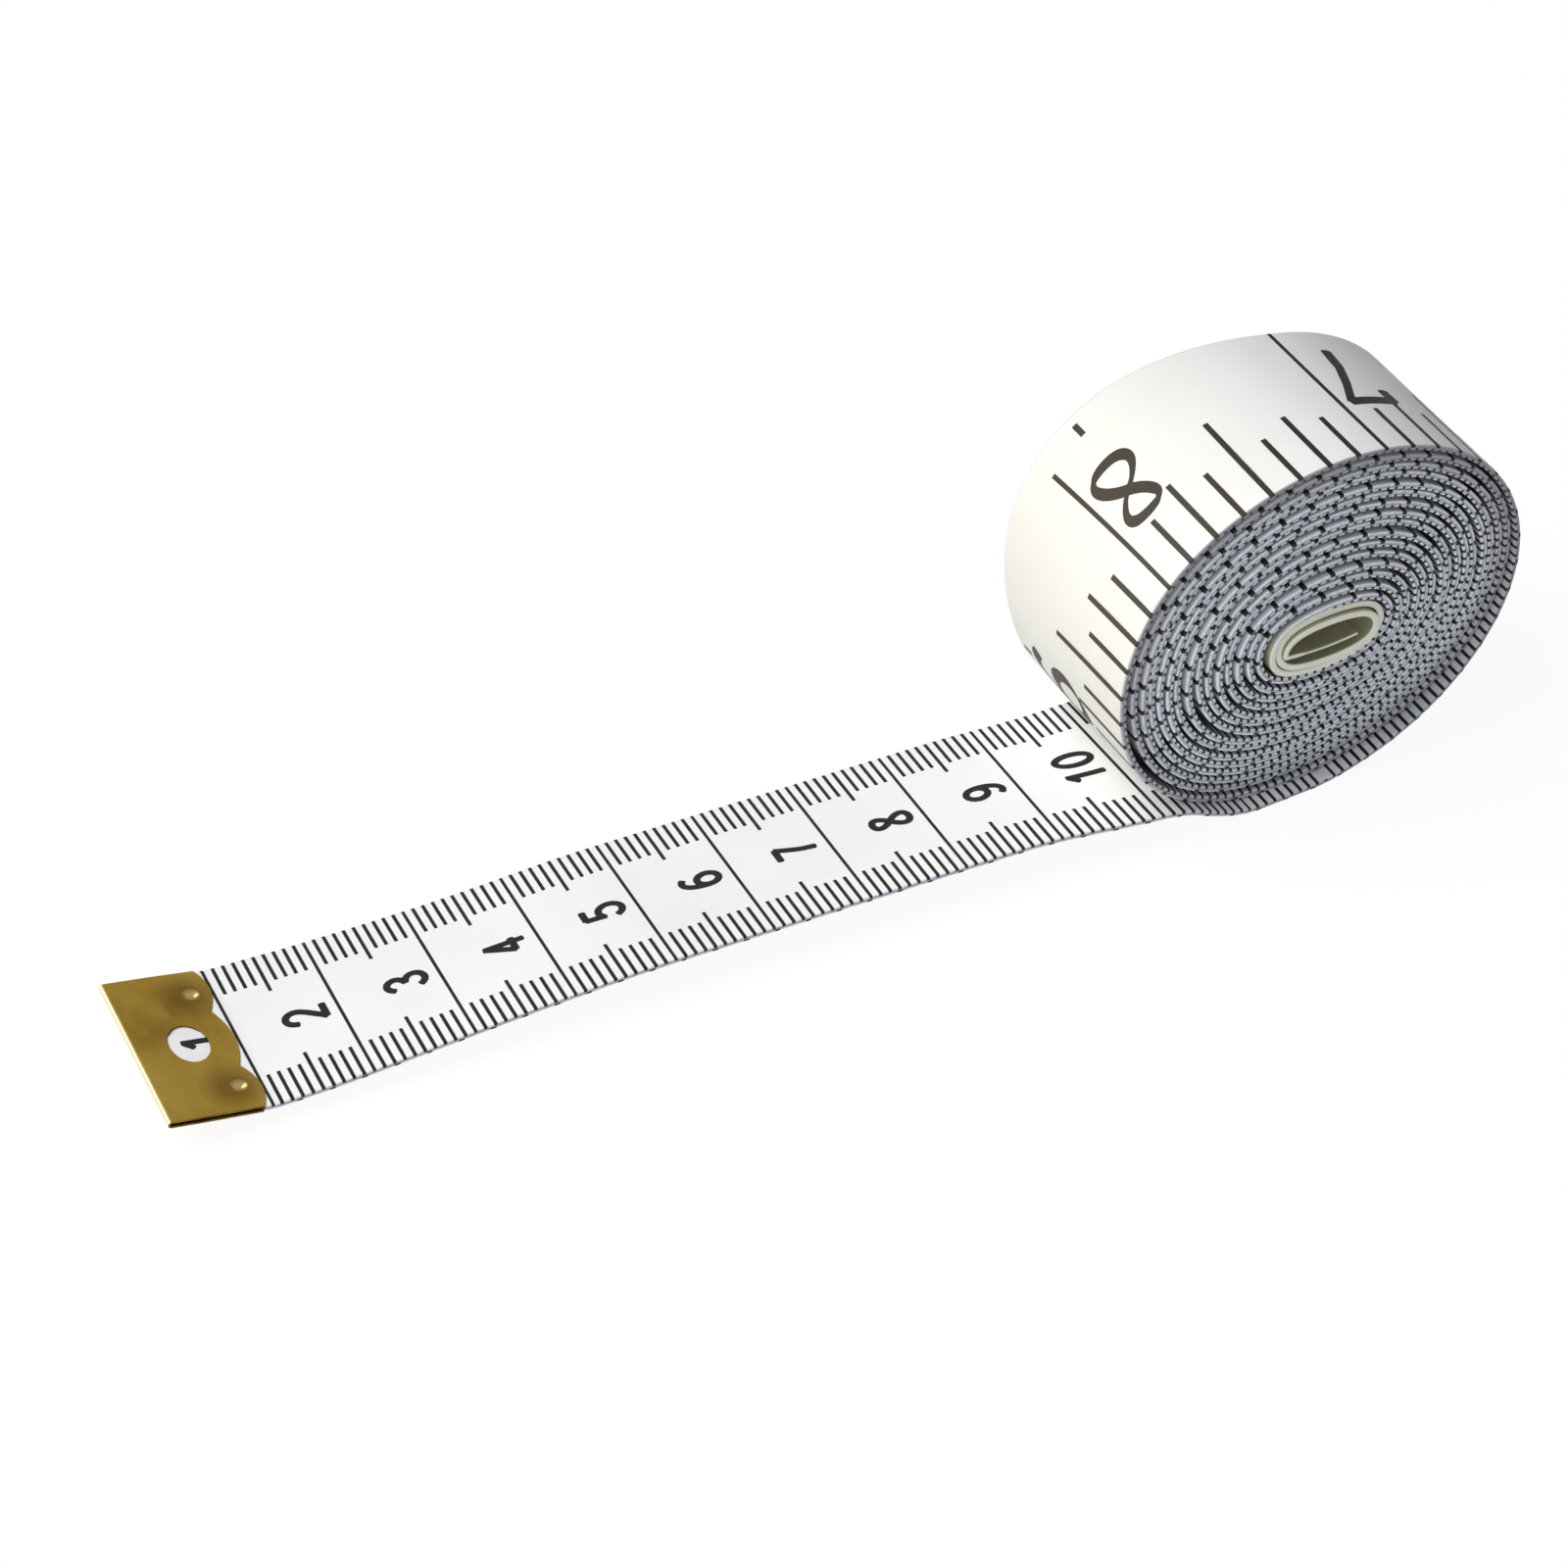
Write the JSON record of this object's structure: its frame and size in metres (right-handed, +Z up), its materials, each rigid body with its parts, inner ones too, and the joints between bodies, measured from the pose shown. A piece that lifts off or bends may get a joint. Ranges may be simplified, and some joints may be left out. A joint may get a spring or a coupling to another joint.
{
  "type": "cloth tape measure",
  "caption": "Flexible printed tape wound into an oval roll with a short run drawn out and a folded brass clip on each end; the run bends upwards.",
  "frame": {"origin": "middle of the flat stretch of tape that the roll stands on", "axes": "+X from the clip on the free end towards the roll, +Y across the drawn-out run, +Z up; the roll's axis is turned 4.9 degrees from +Y"},
  "size_m": [0.1405, 0.0245, 0.0397],
  "materials": {
    "tape_cloth": "satin white vinyl coat over woven glass cloth, printed in black",
    "clip_brass": "brushed, slightly tarnished"
  },
  "bodies": {
    "roll": {"tape_roll": "tape_cloth", "inner_end_clip": "clip_brass"},
    "run_1": {"tape_run_1": "tape_cloth"},
    "run_2": {"tape_run_2": "tape_cloth"},
    "run_3": {"tape_run_3": "tape_cloth"},
    "run_4": {"tape_run_4": "tape_cloth", "free_end_clip": "clip_brass"}
  },
  "joints": [
    {"name": "bend_1", "type": "hinge", "parent": "roll", "child": "run_1", "pos_m": [-0.02068, 0, 0.00297], "axis": [0, 1, 0], "range_deg": [0, 45]},
    {"name": "bend_2", "type": "hinge", "parent": "run_1", "child": "run_2", "pos_m": [-0.04268, 0, 0.00292], "axis": [0, 1, 0], "range_deg": [0, 45]},
    {"name": "bend_3", "type": "hinge", "parent": "run_2", "child": "run_3", "pos_m": [-0.06468, 0, 0.00282], "axis": [0, 1, 0], "range_deg": [0, 45]},
    {"name": "bend_4", "type": "hinge", "parent": "run_3", "child": "run_4", "pos_m": [-0.08668, 0, 0.00126], "axis": [0, 1, 0], "range_deg": [0, 45]}
  ]
}
